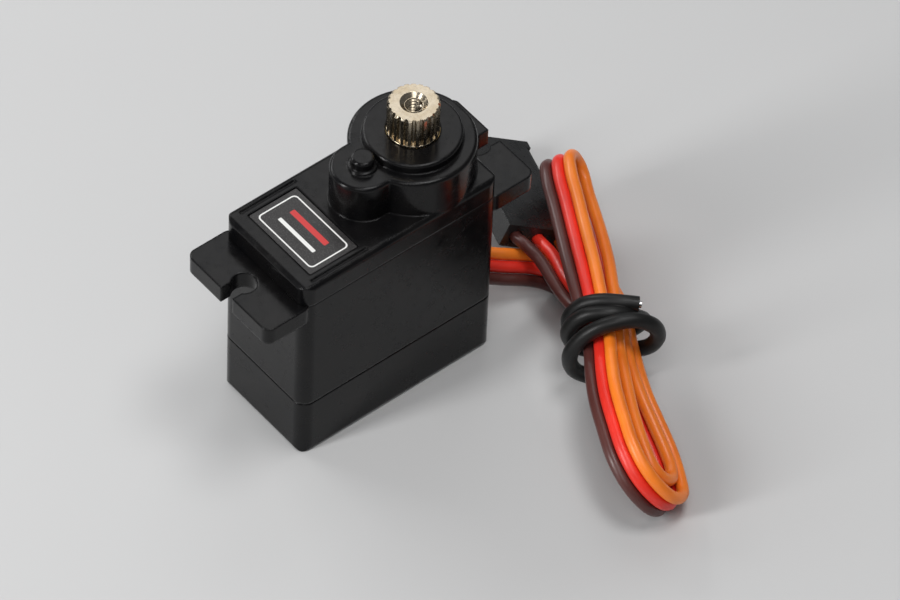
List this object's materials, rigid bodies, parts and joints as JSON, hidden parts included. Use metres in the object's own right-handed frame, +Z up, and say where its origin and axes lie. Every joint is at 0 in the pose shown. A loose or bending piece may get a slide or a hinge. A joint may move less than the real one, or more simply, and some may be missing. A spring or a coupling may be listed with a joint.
{
  "type": "hobby servo motor",
  "caption": "Small rectangular geared servo with slotted mounting ears, a splined metal output shaft and a three-wire lead tied in a hank.",
  "frame": {"origin": "middle of the case's underside", "axes": "+X along the case towards the output shaft, +Y across the case, +Z up along the output shaft"},
  "size_m": [0.0461, 0.0471, 0.0327],
  "materials": {
    "black_plastic": "glossy moulded",
    "label_film": "speckled printed film",
    "screw_steel": "zinc plated",
    "nickel_steel": "bright nickel plated",
    "bush_brass": "turned",
    "gear_brass": "hobbed",
    "gear_steel": "sintered",
    "pin_steel": "ground",
    "winding_copper": "enamelled wire",
    "magnet_iron": "sintered",
    "can_steel": "drawn",
    "cream_plastic": "moulded",
    "contact_brass": "stamped",
    "blue_plastic": "moulded",
    "white_plastic": "moulded",
    "board_green": "solder mask",
    "chip_black": "moulded",
    "capacitor_ceramic": "fired",
    "inner_wire": "insulated",
    "black_rubber": "satin",
    "brown_sheath": "satin extruded",
    "red_sheath": "satin extruded",
    "orange_sheath": "satin extruded",
    "plug_plastic": "moulded"
  },
  "bodies": {
    "case": {"case_middle": "black_plastic", "case_bottom": "black_plastic", "gear_cover": "black_plastic", "name_label": "label_film", "case_screws": "screw_steel", "output_bush_upper": "bush_brass", "output_bush_lower": "bush_brass", "idler_pin": "pin_steel", "motor_magnets": "magnet_iron", "motor_can": "can_steel", "motor_end_cap": "cream_plastic", "motor_terminals": "contact_brass", "feedback_pot": "blue_plastic", "control_board": "board_green", "driver_chip": "chip_black", "control_chip": "chip_black", "board_capacitors": "capacitor_ceramic", "motor_leads": "inner_wire", "pot_leads": "inner_wire", "lead_grommet": "black_rubber", "lead_wire_brown": "brown_sheath", "lead_wire_red": "red_sheath", "lead_wire_orange": "orange_sheath", "lead_hank": "orange_sheath", "cable_tie": "black_rubber", "plug_housing": "plug_plastic", "plug_contacts": "contact_brass"},
    "output": {"output_gear": "nickel_steel", "pot_shaft": "white_plastic"},
    "third": {"third_gear": "gear_brass"},
    "second": {"second_gear": "gear_steel"},
    "first": {"first_gear": "gear_brass"},
    "rotor": {"motor_pinion": "gear_brass", "motor_shaft": "pin_steel", "motor_armature": "winding_copper"}
  },
  "joints": [
    {"name": "output_turn", "type": "hinge", "parent": "case", "child": "output", "pos_m": [0.0059, 0, 0.018], "axis": [0, 0, 1], "range_deg": [-90, 90]},
    {"name": "third_spin", "type": "hinge", "parent": "case", "child": "third", "pos_m": [-0.0001, 0, 0.018], "axis": [0, 0, 1], "range_deg": [-243, 243]},
    {"name": "second_spin", "type": "hinge", "parent": "case", "child": "second", "pos_m": [0.0059, 0, 0.018], "axis": [0, 0, 1], "range_deg": [-921, 921]},
    {"name": "first_spin", "type": "hinge", "parent": "case", "child": "first", "pos_m": [-0.0001, 0, 0.018], "axis": [0, 0, 1], "range_deg": [-2480, 2480]},
    {"name": "motor_spin", "type": "hinge", "parent": "case", "child": "rotor", "pos_m": [-0.00585, 0, 0.018], "axis": [0, 0, 1], "range_deg": [-11780, 11780]}
  ],
  "couplings": [
    {"joint": "third_spin", "follows": "output_turn", "ratio": -2.6923},
    {"joint": "second_spin", "follows": "output_turn", "ratio": 10.231},
    {"joint": "first_spin", "follows": "output_turn", "ratio": -27.544},
    {"joint": "motor_spin", "follows": "output_turn", "ratio": 130.84}
  ]
}
